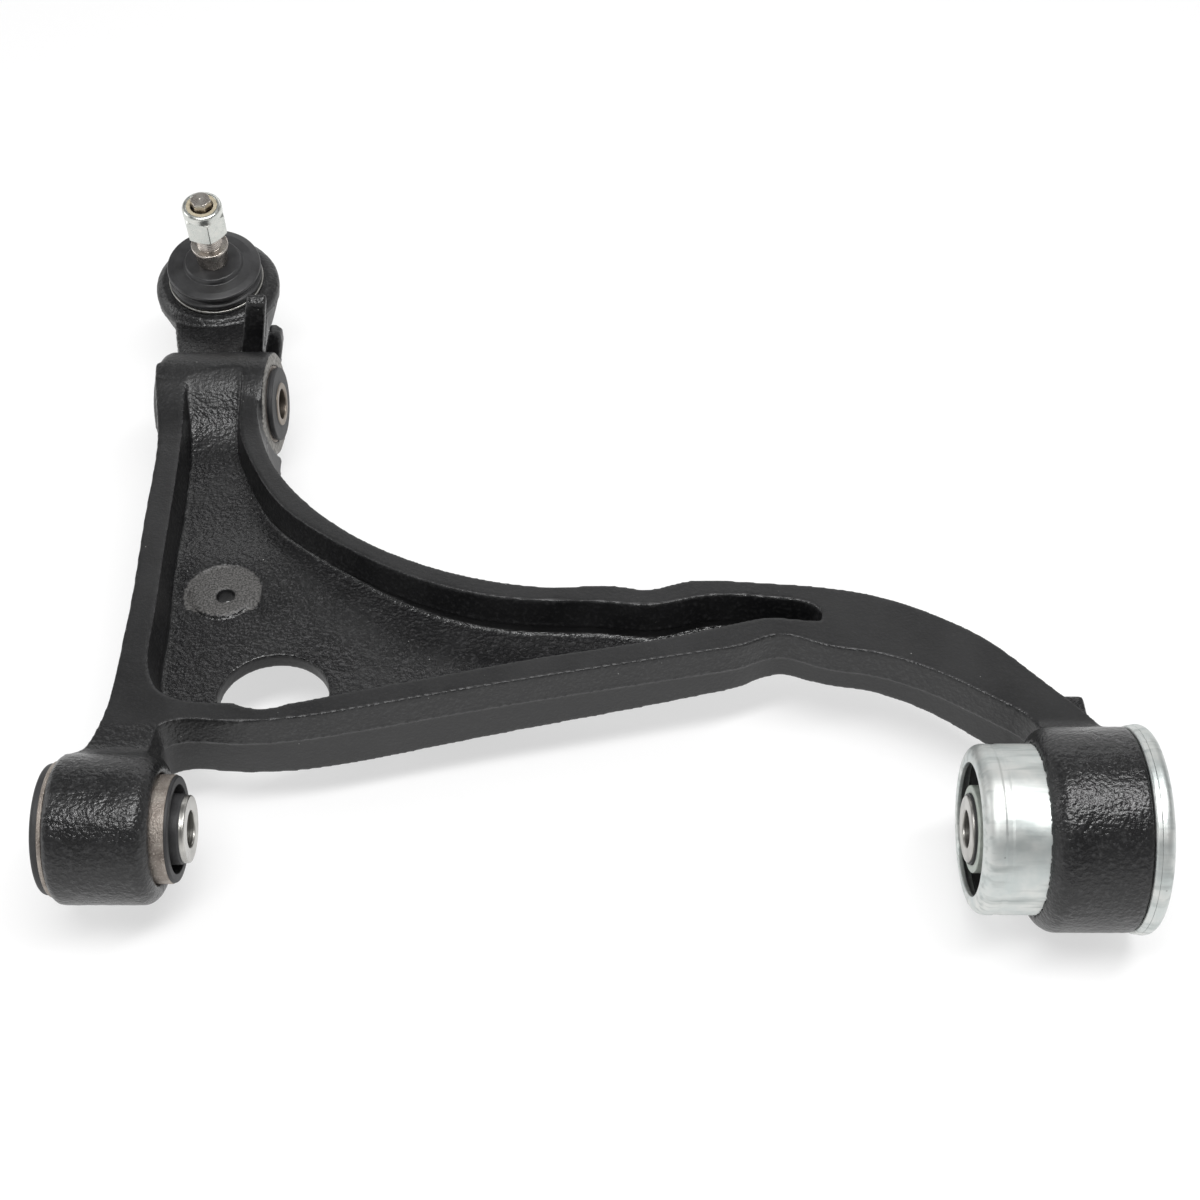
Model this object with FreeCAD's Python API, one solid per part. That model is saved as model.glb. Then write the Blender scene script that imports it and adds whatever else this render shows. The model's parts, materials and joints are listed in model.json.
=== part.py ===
import FreeCAD, Part
import math
import os
from FreeCAD import Vector

# Front lower control arm, right-hand side, in millimetres.
# Origin: centre of the front bush bore. +X runs along the pivot axis to the rear bush,
# +Y runs outboard to the ball joint, +Z is up, towards the ball stud's nut.

# ---- driving dimensions: the casting ----
RIM_TOP = 14.5             # top face of the rims
STOCK_TOP = 46.0           # height that the drafted walls are made to before trimming
STOCK_BOTTOM = -27.0
OUTER_DRAFT = math.radians(3)
POCKET_DRAFT = math.radians(9)
PARTING_STEP = 0.35        # mismatch of the two mould halves along the parting line
WEB_HOLE = (57.2, 83.3, 26.0)          # x, y, radius
PAD = (24.5, 148.5, 15.5)              # x, y, radius
PAD_TOP = -2.8
PAD_RECESS_RADIUS = 19.0
PAD_HOLE = (26.2, 146.9, 4.3)

# ---- driving dimensions: the bushes on the pivot axis ----
PIVOT_BOLT_BORE = 8.15
FRONT_BOSS = (-24.1, 20.5, 32.6)       # start, end, radius
FRONT_SLEEVE_OUTER = 23.7
FRONT_SLEEVE_INNER = 20.6
FRONT_CORE = (-32.5, 32.8, 14.75)
REAR_BOSS = (397.5, 439.1, 44.3)
REAR_CAN_OUTER = 37.0
REAR_CAN_WALL = 2.4
REAR_CAN_START = 371.0
REAR_SLEEVE = (369.5, 452.5, 15.45)
REAR_CORE = (371.6, 438.0, 19.0)

# ---- driving dimensions: the strut bush across the arm's outer end ----
STRUT_CENTRE = Vector(0, 295.7, -2.7)
STRUT_AXIS = Vector(0.9972, -0.0551, 0.0488).normalize()
STRUT_BOSS = (-28.0, 32.9, 28.2)
STRUT_SLEEVE_OUTER = 21.0
STRUT_SLEEVE_INNER = 18.6
STRUT_CORE = (-30.5, 36.8, 11.7)
STRUT_BOLT_BORE = 8.15

# ---- driving dimensions: the ball joint, heights measured from the ball's centre ----
BALL_CENTRE = Vector(-12.6, 395.6, -1.2)
BALL_AXIS = Vector(0.038, -0.237, 0.972).normalize()
BALL_RADIUS = 16.0
SHELL_OUTER = 19.6
HOUSING_RADIUS = 35.3
HOUSING_TOP = 13.5
HOUSING_BOTTOM = -22.5
WAIST_RADIUS = 7.0         # next to the ball, below the boot's lip
NECK_RADIUS = 8.0
SHOULDER = (42.1, 43.8, 10.4)          # start, end, radius
THREAD_RADIUS = 7.0
THREAD_END = 71.5
STUD_TIP = 79.6
STUD_HEX_ACROSS_FLATS = 10.0
NUT_START = 54.6
NUT_END = 74.9
NUT_ACROSS_FLATS = 21.0
COLLAR_RADIUS = 11.0
INSERT_SEAT = (71.6, 8.5)              # height and radius of the recess for the locking insert

FIT_GAP = 0.05             # radial clearance where one piece turns or slides in another
X_AXIS = Vector(1, 0, 0)


# ---- general shapes ----
def rounded_wire(corners, plane_point):
    """Closed wire through (u, v, radius) corners, each corner rounded by its radius."""
    count = len(corners)
    edges = []
    joints = []
    for i in range(count):
        corner = Vector(corners[i][0], corners[i][1], 0)
        radius = corners[i][2]
        back = Vector(corners[i - 1][0], corners[i - 1][1], 0) - corner
        ahead = Vector(corners[(i + 1) % count][0], corners[(i + 1) % count][1], 0) - corner
        back.normalize()
        ahead.normalize()
        if radius == 0:
            joints.append((corner, None, corner))
            continue
        half = back.getAngle(ahead) / 2
        setback = radius / math.tan(half)
        inward = (back + ahead).normalize()
        middle = corner + inward * (radius / math.sin(half) - radius)
        joints.append((corner + back * setback, middle, corner + ahead * setback))
    for i in range(count):
        start, middle, end = joints[i]
        if middle is not None:
            points = [plane_point(p.x, p.y) for p in (start, middle, end)]
            edges.append(Part.Arc(*points).toShape())
        following = joints[(i + 1) % count][0]
        if (following - end).Length > 1e-6:
            run = (plane_point(end.x, end.y), plane_point(following.x, following.y))
            edges.append(Part.LineSegment(*run).toShape())
    return Part.Wire(edges)


def turned(profile, centre=Vector(0, 0, 0), axis=X_AXIS):
    """Solid of revolution; the profile's corners are (distance along, radius, rounding)."""
    wire = rounded_wire(profile, lambda u, v: Vector(u, v, 0))
    solid = Part.Face(wire).revolve(Vector(0, 0, 0), X_AXIS, 360)
    solid.Placement = FreeCAD.Placement(centre, FreeCAD.Rotation(X_AXIS, axis))
    return solid


def tube(start, end, inner, outer, edge=0.5, centre=Vector(0, 0, 0), axis=X_AXIS):
    """Plain tube along an axis with softened rims."""
    corners = [(start, inner, edge), (start, outer, edge), (end, outer, edge), (end, inner, edge)]
    return turned(corners, centre, axis)


def rod(start, end, radius, centre=Vector(0, 0, 0), axis=X_AXIS):
    """Plain cylinder along an axis."""
    return Part.makeCylinder(radius, end - start, centre + axis * start, axis)


def hexagon(start, end, across_flats, centre, axis, turn=0.0):
    """Hexagonal bar along an axis."""
    corners = []
    for k in range(7):
        angle = math.radians(60 * k + turn)
        reach = across_flats / math.sqrt(3)
        corners.append(Vector(start, reach * math.cos(angle), reach * math.sin(angle)))
    bar = Part.Face(Part.makePolygon(corners)).extrude(Vector(end - start, 0, 0))
    bar.Placement = FreeCAD.Placement(centre, FreeCAD.Rotation(X_AXIS, axis))
    return bar


def plan_wire(runs, height, outward):
    """Plan outline at a height, moved outwards; each run ends where the next one starts."""
    loop = [point for run in runs for point in run]
    count = len(loop)
    moved = []
    for i in range(count):
        before = loop[i - 1]
        after = loop[(i + 1) % count]
        side = Vector(after[1] - before[1], before[0] - after[0], 0).normalize()
        moved.append(Vector(loop[i][0], loop[i][1], height) + side * outward)
    edges = []
    start = 0
    for run in runs:
        points = [moved[i % count] for i in range(start, start + len(run) + 1)]
        start += len(run)
        if len(points) == 2:
            edges.append(Part.LineSegment(*points).toShape())
        else:
            curve = Part.BSplineCurve()
            curve.interpolate(points)
            edges.append(curve.toShape())
    return Part.Wire(edges)


def drafted(runs, levels):
    """Walls through the outline at each (height, outward) level, closed top and bottom."""
    return Part.makeLoft([plan_wire(runs, z, outward) for z, outward in levels], True, True)


def side_block(points, start, end):
    """Closed outline in the YZ plane, given as edges, made into a block along X."""
    face = Part.Face(Part.Wire(points))
    block = face.extrude(Vector(end - start, 0, 0))
    block.translate(Vector(start, 0, 0))
    return block


# ---- the casting ----
# Plan outline at the rims' top face, anticlockwise. The round bosses close its ends.
FRONT_EDGE = [
    (11.3, 5), (11.2, 30), (11.6, 40), (13.4, 47), (18.5, 49.9), (40, 49.9), (62, 50.3),
    (84.5, 53.8), (115.4, 61), (151.2, 69.6), (192.1, 78.6), (229, 86.4), (266.3, 94.1),
    (278.2, 97.3), (287.8, 101.8), (298.2, 103.4), (308.6, 99.5), (320, 95.4),
    (336, 92.5), (353.8, 86.1), (371, 76.7), (391.7, 61.9), (403.6, 51.7), (408, 42)]
REAR_EDGE = [
    (437.5, 42), (429.3, 54.4), (413.3, 74.6), (392.3, 99.6), (371.5, 115.3), (344.5, 128.7),
    (316.4, 135.4), (278.1, 139.2), (250, 138.7), (241.5, 135.6), (230.7, 133.6),
    (222.5, 135.3), (212, 136.3), (191.3, 135.4), (162.3, 138.6), (127.8, 149.4),
    (97.1, 165.7), (64.4, 193.7), (44.5, 220.5), (31.6, 252.5), (27.5, 277.6)]
LEFT_EDGE = [
    (-29.8, 300), (-28.4, 286), (-21, 244.4), (-18.4, 205), (-15.7, 160), (-13.5, 126),
    (-12.4, 90), (-12.4, 58), (-15, 42), (-19.5, 31), (-24, 27)]
OUTLINE = [FRONT_EDGE, [(410, 20)], [(438, 20)], REAR_EDGE, [(28, 300)], LEFT_EDGE, [(-24, 5)]]

# Plan outline of the pocket at the rims' top face, anticlockwise.
POCKET_FRONT = [
    (5.7, 73), (12, 66.2), (24.8, 61.6), (45, 61), (70.3, 60.6), (87.9, 65), (119, 73),
    (173.5, 86.8), (215.2, 95.7), (252.7, 104.4), (278, 112), (290, 114.6), (306, 113.2)]
POCKET_REAR = [
    (314.9, 112.3), (316.8, 116.5), (313.5, 123.2), (296.6, 128), (272, 130.6), (256, 129),
    (243, 124.2), (231, 122.9), (217, 125), (200, 126), (172.3, 127), (143.2, 133.1),
    (113.4, 145.9), (82.3, 165.7), (49.2, 195.2), (29.3, 229.9), (21, 252.5), (18.2, 277.6)]
POCKET_LEFT = [
    (-9.5, 290), (-10.4, 275), (-8.7, 244.4), (-5.7, 197.4), (-2.6, 143.1), (-0.6, 109.3),
    (1, 86.8)]
POCKET = [POCKET_FRONT, POCKET_REAR, [(17.5, 290)], POCKET_LEFT]

# Heights of the web's two faces along Y, and of the walls' lower edge along X.
WEB_TOP = [(40, -4.5), (100, -6), (130, -5.2), (154, -2.8), (172, -1.6), (192, -3.4), (215, -3.4),
           (240, -2), (256, 1), (268, 7.5), (275, 14), (281, 19.5), (288, 24), (294, 26.5)]
WEB_BOTTOM = [(40, -12.5), (100, -14), (130, -13.2), (160, -10.8), (192, -11.6), (262, -13)]
LOWER_EDGE = [
    (-60, -22), (40, -22.8), (119, -23.6), (160, -22), (210, -20), (255, -17.4), (298, -14.2),
    (332, -13.2), (371, -15.6), (415, -22), (460, -26)]


def rise_onto_boss(boss_y, boss_z, boss_radius, fillet, side):
    """Hollow arc in the YZ plane that carries the rims' top face up onto a round boss."""
    bite = 0.3             # the arc ends this far inside the boss
    rise = RIM_TOP + fillet - boss_z
    reach = math.sqrt((boss_radius - bite + fillet) ** 2 - rise ** 2)
    centre = Vector(0, boss_y + side * reach, RIM_TOP + fillet)
    down = Vector(0, 0, -1)
    to_boss = (Vector(0, boss_y, boss_z) - centre).normalize()
    halfway = (down + to_boss).normalize()
    return [centre + way * fillet for way in (down, halfway, to_boss)]


def closed_below(arcs, low_y, high_y, floor):
    """Edges of a side outline: upright ends, straight runs between the arcs, flat floor."""
    first = arcs[0][0]
    last = arcs[-1][2]
    corners = [Vector(0, low_y, floor), Vector(0, low_y, first.z)]
    edges = [Part.LineSegment(*corners).toShape()]
    pen = corners[1]
    for arc in arcs:
        edges.append(Part.LineSegment(pen, arc[0]).toShape())
        edges.append(Part.Arc(*arc).toShape())
        pen = arc[2]
    end = Vector(0, high_y, last.z)
    edges.append(Part.LineSegment(pen, end).toShape())
    edges.append(Part.LineSegment(end, Vector(0, high_y, floor)).toShape())
    edges.append(Part.LineSegment(Vector(0, high_y, floor), corners[0]).toShape())
    return edges


def top_limit():
    """Everything below the rims' top face, which rises onto the three bosses."""
    split = 250.0
    front = rise_onto_boss(0, 0, FRONT_BOSS[2], 15, 1)[::-1]
    strut = rise_onto_boss(STRUT_CENTRE.y, STRUT_CENTRE.z, STRUT_BOSS[2], 110, -1)
    rear = rise_onto_boss(0, 0, REAR_BOSS[2], 15, 1)[::-1]
    left = side_block(closed_below([front, strut], -10, 310, STOCK_BOTTOM - 5), -60, split)
    right = side_block(closed_below([rear], -10, 310, STOCK_BOTTOM - 5), split, 480)
    return left.fuse(right)


def wavy_block(heights, far, along_x, low, high):
    """Block between a smooth line of heights and a far level, along X or along Y."""
    if along_x:
        points = [Vector(low, y, z) for y, z in heights]
        sweep = Vector(high - low, 0, 0)
    else:
        points = [Vector(x, low, z) for x, z in heights]
        sweep = Vector(0, high - low, 0)
    curve = Part.BSplineCurve()
    curve.interpolate(points)
    first = Vector(points[0].x, points[0].y, far)
    last = Vector(points[-1].x, points[-1].y, far)
    rest = Part.makePolygon([points[-1], last, first, points[0]])
    return Part.Face(Part.Wire([curve.toShape()] + rest.Edges)).extrude(sweep)


def plate():
    """The Y-shaped plate between the bosses, with draft away from the parting line."""
    upper = drafted(OUTLINE, [
        (0, RIM_TOP * math.tan(OUTER_DRAFT)),
        (STOCK_TOP, (RIM_TOP - STOCK_TOP) * math.tan(OUTER_DRAFT))])
    lower = drafted(OUTLINE, [
        (STOCK_BOTTOM, (RIM_TOP + STOCK_BOTTOM) * math.tan(OUTER_DRAFT) - PARTING_STEP),
        (0, RIM_TOP * math.tan(OUTER_DRAFT) - PARTING_STEP)])
    upper = upper.common(top_limit())
    lower = lower.cut(wavy_block(LOWER_EDGE, STOCK_BOTTOM - 20, False, -60, 420))
    return upper.fuse(lower)


def pockets():
    """The space above and below the web, narrowing towards it from both sides."""
    slope = math.tan(POCKET_DRAFT)
    above = drafted(POCKET, [(-8, (RIM_TOP + 8) * -slope), (30, (30 - RIM_TOP) * slope)])
    below = drafted(POCKET, [(-30, -1.0), (-5, -3.6)])
    above = above.common(wavy_block(WEB_TOP, 60, True, -60, 480))
    below = below.common(wavy_block(WEB_BOTTOM, -60, True, -60, 480))
    return [above, below]


def boss(span, edge_start, edge_end, centre=Vector(0, 0, 0), axis=X_AXIS):
    """Round boss with rounded rims, solid until it is bored."""
    start, end, radius = span
    return turned([(start, 0, 0), (start, radius, edge_start), (end, radius, edge_end), (end, 0, 0)],
                  centre, axis)


def ball_housing():
    """Round housing of the ball joint, narrowing downwards, before it is bored."""
    return turned([(HOUSING_BOTTOM, 0, 0), (HOUSING_BOTTOM, 28, 4), (-6, 32.6, 10), (5, HOUSING_RADIUS, 5),
                   (HOUSING_TOP - 4, HOUSING_RADIUS, 3), (HOUSING_TOP, 30.5, 1),
                   (HOUSING_TOP, 0, 0)], BALL_CENTRE, BALL_AXIS)


def slab(outline, start, end):
    """Closed outline of (x, z) corners made into a slab along Y."""
    corners = [Vector(x, start, z) for x, z in outline]
    return Part.Face(Part.makePolygon(corners + corners[:1])).extrude(Vector(0, end - start, 0))


def neck():
    """Low bridge between the strut boss and the ball housing."""
    near = [Vector(-19, 300, -24), Vector(26, 300, -24), Vector(26, 300, 4), Vector(-19, 300, 4)]
    far = [Vector(-35, 372, -20), Vector(18, 372, -20), Vector(18, 372, 1), Vector(-35, 372, 1)]
    return Part.makeLoft([Part.makePolygon(side + side[:1]) for side in (near, far)], True, True)


def lugs():
    """Small cast lugs: an upright ear beside the neck, a finger behind it, a tab by the rear bush."""
    ear = slab([(7, -6), (19.5, -6), (27, 38.6), (26, 39.4), (17.3, 39.4), (16.3, 38.6)], 330, 345)
    side = [(333.5, -6), (334.5, 35.6), (338.6, 39.5), (340, 38.6), (339.5, -6)]
    side = [Vector(0, y, z) for y, z in side]
    ear = ear.common(side_block(Part.makePolygon(side + side[:1]).Edges, 0, 40))
    finger = slab([(20, -6), (30, -6), (34.4, 15), (34.4, 21), (31.6, 23.8), (28.2, 23.8)], 325, 333)
    tab = Part.makeBox(14, 24, 16, Vector(419.5, 51.5, -12))
    corners = [edge for edge in tab.Edges if edge.Vertexes[0].Y == edge.Vertexes[1].Y == 75.5]
    tab = tab.makeFillet(3, corners)
    return [ear, finger, tab]


def strut_flare():
    """Lower part of the rear wall, which spreads outwards as it reaches the strut boss."""
    levels = []
    for height, edge in ((RIM_TOP - 1, [(43, 219.5), (30.4, 252), (26.4, 277.6), (26.4, 300)]),
                         (-20, [(49, 214), (40.8, 240), (37.8, 258), (37.6, 300)])):
        curve = Part.BSplineCurve()
        curve.interpolate([Vector(x, y, height) for x, y in edge])
        first = Vector(edge[0][0], edge[0][1], height)
        last = Vector(edge[-1][0], edge[-1][1], height)
        inside = Part.makePolygon([last, Vector(22, 300, height), Vector(22, 262, height),
                                   Vector(39, 222, height), first])
        levels.append(Part.Wire([curve.toShape()] + inside.Edges))
    return Part.makeLoft(levels, True, True)


def upright(circle, low, high):
    """Upright cylinder on an (x, y, radius) circle."""
    return Part.makeCylinder(circle[2], high - low, Vector(circle[0], circle[1], low))


def arm_casting():
    above, below = pockets()
    body = plate().cut(below).fuse(strut_flare())
    body = body.fuse(boss(STRUT_BOSS, 6, 1, STRUT_CENTRE, STRUT_AXIS)).cut(above)
    recess = (PAD[0], PAD[1], PAD_RECESS_RADIUS)
    body = body.cut(upright(recess, PAD_TOP, 10)).fuse(upright(PAD, PAD_TOP - 9, PAD_TOP))
    body = body.cut(upright(WEB_HOLE, -40, 20)).cut(upright(PAD_HOLE, -40, 20))
    solids = [boss(FRONT_BOSS, 4, 7), boss(REAR_BOSS, 9, 1), neck(), ball_housing()] + lugs()
    for solid in solids:
        body = body.fuse(solid)
    for cut in bush_bores() + housing_bores():
        body = body.cut(cut)
    return body


def bush_bores():
    """Bores of the three bosses, with the faces and the entries that are machined with them."""
    strut = (STRUT_CENTRE, STRUT_AXIS)
    entry = turned([(15, 0, 0), (FRONT_BOSS[1] - 2, FRONT_SLEEVE_OUTER, 0),
                    (FRONT_BOSS[1] + 1, 26.3, 0), (FRONT_BOSS[1] + 1, 0, 0)])
    return [rod(-60, FRONT_BOSS[0], 40), rod(-60, 60, FRONT_SLEEVE_OUTER), entry,
            rod(380, 460, REAR_CAN_OUTER), rod(REAR_BOSS[1], 460, 60),
            rod(-60, 60, STRUT_SLEEVE_OUTER, *strut), rod(STRUT_BOSS[1], 60, 30, *strut)]


def housing_bores():
    """Bore for the bearing shell, the stud's opening above it and the boot's seat groove."""
    shell = rod(HOUSING_BOTTOM - 1, 9.5, SHELL_OUTER, BALL_CENTRE, BALL_AXIS)
    cover = rod(HOUSING_BOTTOM - 1, -17, 23.5, BALL_CENTRE, BALL_AXIS)
    opening = turned([(9, 0, 0), (9, 14.2, 0), (HOUSING_TOP + 1, 17.2, 0), (HOUSING_TOP + 1, 0, 0)],
                     BALL_CENTRE, BALL_AXIS)
    return [shell, cover, opening]


# ---- front bush ----
def front_bush():
    sleeve = turned([(-26, FRONT_SLEEVE_INNER, 0.5), (-26, 29.6, 0.6), (FRONT_BOSS[0], 29.6, 0.4),
                     (FRONT_BOSS[0], FRONT_SLEEVE_OUTER, 0), (26, FRONT_SLEEVE_OUTER, 0.4),
                     (26, FRONT_SLEEVE_INNER, 0)])
    bond = FRONT_CORE[2] + FIT_GAP
    rubber = turned([(-29.5, bond, 0.3), (-29.5, 28.5, 1.6), (-26, 28.5, 0.3),
                     (-26, FRONT_SLEEVE_INNER, 0), (26, FRONT_SLEEVE_INNER, 0), (26, 23.4, 0.2),
                     (27.4, 23, 0.7), (27.4, 19.4, 0.5), (13, 18.8, 1.4), (11, 15.8, 1.4),
                     (29.5, 15.3, 0.2), (30.5, bond, 0)])
    core = tube(*FRONT_CORE[:2], PIVOT_BOLT_BORE, FRONT_CORE[2], 0.7)
    return {"front_bush_outer_sleeve": sleeve, "front_bush_rubber": rubber,
            "front_bush_inner_sleeve": core}


# ---- rear hydraulic bush ----
def rear_bush():
    inner = REAR_CAN_OUTER - REAR_CAN_WALL
    end = REAR_BOSS[1]
    flange_end = end + 2.6
    can = turned([(REAR_CAN_START, 29, 0), (REAR_CAN_START, REAR_CAN_OUTER, 6),
                  (end, REAR_CAN_OUTER, 0), (end, 45, 0.8), (flange_end, 45, 0.8),
                  (flange_end, inner, 0.5), (REAR_CAN_START + REAR_CAN_WALL, inner, 3.6),
                  (REAR_CAN_START + REAR_CAN_WALL, 29, 0)])
    cap = turned([(flange_end, 30, 0.4), (flange_end, 45.6, 1.2), (flange_end + 6, 45.6, 3.6),
                  (flange_end + 6, 30, 0.6)])
    channel = tube(392, 424, 31, inner, 0.5)
    core = tube(*REAR_CORE[:2], REAR_SLEEVE[2], REAR_CORE[2], 0.6)
    sleeve = tube(*REAR_SLEEVE[:2], PIVOT_BOLT_BORE, REAR_SLEEVE[2] - 0.9, 0.8)
    skin = tube(REAR_SLEEVE[0] + 1.2, REAR_SLEEVE[1] - 4, REAR_SLEEVE[2] - 0.9, REAR_SLEEVE[2], 0)
    return {"rear_bush_outer_can": can, "rear_bush_end_ring": cap, "rear_bush_channel_ring": channel,
            "rear_bush_rubber": rear_rubber(inner, end), "rear_bush_core": core,
            "rear_bush_inner_sleeve": sleeve, "rear_bush_sleeve_skin": skin}


def rear_rubber(can_inner, end):
    """Rubber between core and can: two solid arms, two open lobes, the can's lining and lips."""
    bond = REAR_CORE[2] + FIT_GAP
    body = turned([(390, bond, 0.5), (388, 25, 2), (388, 31.5, 2), (378, 32.8, 0), (377, can_inner, 0),
                   (391.5, can_inner, 0), (391.5, 31, 0), (424.5, 31, 0), (424.5, can_inner, 0),
                   (end + 2, can_inner, 1), (end + 2, 27, 1.5), (436, bond, 0.5)])
    ring = tube(380, 420, bond + 2.5, 29.5, 0)
    for side in (-1, 1):
        body = body.cut(ring.common(Part.makeBox(70, 36, 9.5, Vector(370, -18, side * 25.2 - 4.75))))
    return body


# ---- strut bush ----
def strut_bush():
    place = (STRUT_CENTRE, STRUT_AXIS)
    face = STRUT_BOSS[1]
    sleeve = tube(-27, face - 0.4, STRUT_SLEEVE_INNER, STRUT_SLEEVE_OUTER, 0.4, *place)
    bond = STRUT_CORE[2] + FIT_GAP
    rubber = turned([(-28.8, bond, 0.3), (-28.8, 17.6, 1.3), (-27, STRUT_SLEEVE_INNER, 0),
                     (face - 0.4, STRUT_SLEEVE_INNER, 0), (face + 0.6, 18, 0.3), (face + 0.9, 19.9, 0.3),
                     (face + 3, 19.9, 0.7), (face + 3, bond + 1, 0.3), (face + 3.4, bond, 0)], *place)
    core = tube(*STRUT_CORE[:2], STRUT_BOLT_BORE, STRUT_CORE[2], 0.7, *place)
    return {"strut_bush_outer_sleeve": sleeve, "strut_bush_rubber": rubber,
            "strut_bush_inner_sleeve": core}


# ---- ball joint ----
def ball_stud():
    """Ball, neck, reversed cone with its shoulder, threaded end and hexagon tip in one piece."""
    place = (BALL_CENTRE, BALL_AXIS)
    ball = Part.makeSphere(BALL_RADIUS, BALL_CENTRE)
    flat = rod(-BALL_RADIUS - 1, -14.5, BALL_RADIUS, *place)
    start, end, radius = SHOULDER
    shank = turned([(0, 0, 0), (0, WAIST_RADIUS, 0), (19, WAIST_RADIUS, 4), (26, NECK_RADIUS, 3),
                    (30, NECK_RADIUS, 3), (start, radius - 0.5, 0.3),
                    (start, radius, 0.3), (end, radius, 0.5), (end + 0.3, 8.2, 0),
                    (end + 0.3, THREAD_RADIUS, 0), (THREAD_END, THREAD_RADIUS, 0.8),
                    (THREAD_END + 0.5, 5.2, 0), (THREAD_END + 0.5, 0, 0)], *place)
    tip = hexagon(THREAD_END - 0.5, STUD_TIP, STUD_HEX_ACROSS_FLATS, *place, turn=42)
    tip = tip.common(turned([(70, 0, 0), (70, 6, 0), (STUD_TIP - 0.8, 6, 0), (STUD_TIP, 5.1, 0),
                             (STUD_TIP, 0, 0)], *place))
    return ball.cut(flat).fuse(shank).fuse(tip)


def ball_seat():
    """Bearing shell, preload ring under it and the cover plate that closes the housing."""
    place = (BALL_CENTRE, BALL_AXIS)
    socket = Part.makeSphere(BALL_RADIUS + FIT_GAP, BALL_CENTRE)
    shell = rod(-13, 9.4, SHELL_OUTER, *place).cut(socket)
    ring = tube(-16.6, -13, 15.2, SHELL_OUTER, 0.5, *place)
    cover = turned([(HOUSING_BOTTOM + 1, 0, 0), (HOUSING_BOTTOM + 1, 12, 2), (-20, 15, 2),
                    (-20, 23.4, 0.6), (-17, 23.4, 0.4), (-17, 0, 0)], *place)
    return {"ball_bearing_shell": shell, "ball_preload_ring": ring, "ball_cover_plate": cover}


def boot():
    """Rubber gaiter with two folds, its retaining ring and the ring under its lip."""
    place = (BALL_CENTRE, BALL_AXIS)
    lip = NECK_RADIUS + 0.35
    gaiter = turned([(HOUSING_TOP, 20.5, 0), (HOUSING_TOP, 25.2, 0.5), (17, 25.2, 0.5),
                     (18.2, 26.4, 0.8), (20, 26.4, 0.8), (21, 24.8, 0.6), (22.4, 26.2, 1),
                     (27, 26, 1.4), (27.8, 16.6, 0.8), (30.2, 15.8, 1.2), (30.4, lip + 0.6, 0.4),
                     (29.5, lip, 0), (27.5, lip, 0), (27.5, 12.2, 0.2), (25, 12.6, 0.5),
                     (24, 22.8, 1), (21, 21.6, 0.8), (18, 22.6, 0.6)], *place)
    clamp = tube(HOUSING_TOP + 0.6, HOUSING_TOP + 2.4, 25.3, 27, 0.4, *place)
    ring = tube(25.9, 27.4, NECK_RADIUS + FIT_GAP, 12.1, 0.3, *place)
    return {"ball_boot": gaiter, "boot_clamp_ring": clamp, "boot_lip_ring": ring}


def nut():
    """Hexagon nut with a wide rounded collar that holds the locking insert."""
    place = (BALL_CENTRE, BALL_AXIS)
    bore = THREAD_RADIUS + FIT_GAP
    corner = NUT_ACROSS_FLATS / math.sqrt(3) + 0.1
    seat, seat_radius = INSERT_SEAT
    flats = hexagon(NUT_START, NUT_END - 4, NUT_ACROSS_FLATS, *place, turn=32)
    chamfer = turned([(NUT_START, 0, 0), (NUT_START, 10, 0), (NUT_START + 1.2, corner, 0),
                      (NUT_END - 6.2, corner, 0), (NUT_END - 5, COLLAR_RADIUS - 0.6, 0),
                      (NUT_END - 4, COLLAR_RADIUS - 0.6, 0), (NUT_END - 4, 0, 0)], *place)
    collar = turned([(NUT_END - 5, bore, 0), (NUT_END - 5, COLLAR_RADIUS, 0.6),
                     (NUT_END, COLLAR_RADIUS, 2), (NUT_END, seat_radius, 0.3), (seat, seat_radius, 0),
                     (seat, bore, 0)], *place)
    body = flats.common(chamfer).cut(rod(50, 73, bore, *place)).fuse(collar)
    insert = tube(seat + 0.5, NUT_END - 0.2, THREAD_RADIUS - 0.6, seat_radius, 0.3, *place)
    return {"ball_nut": body, "nut_lock_insert": insert}


def write_parts():
    parts = {"arm_casting": arm_casting(), "ball_stud": ball_stud()}
    for group in (front_bush(), rear_bush(), strut_bush(), ball_seat(), boot(), nut()):
        parts.update(group)
    os.makedirs("parts", exist_ok=True)
    for name, shape in parts.items():
        shape.exportStep("parts/" + name + ".step")
        print(name, len(shape.Solids), round(shape.Volume), shape.isValid(), shape.BoundBox)


write_parts()
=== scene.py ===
import json
import math

import bmesh
import bpy
import numpy as np
from mathutils import Euler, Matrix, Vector, noise


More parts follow.
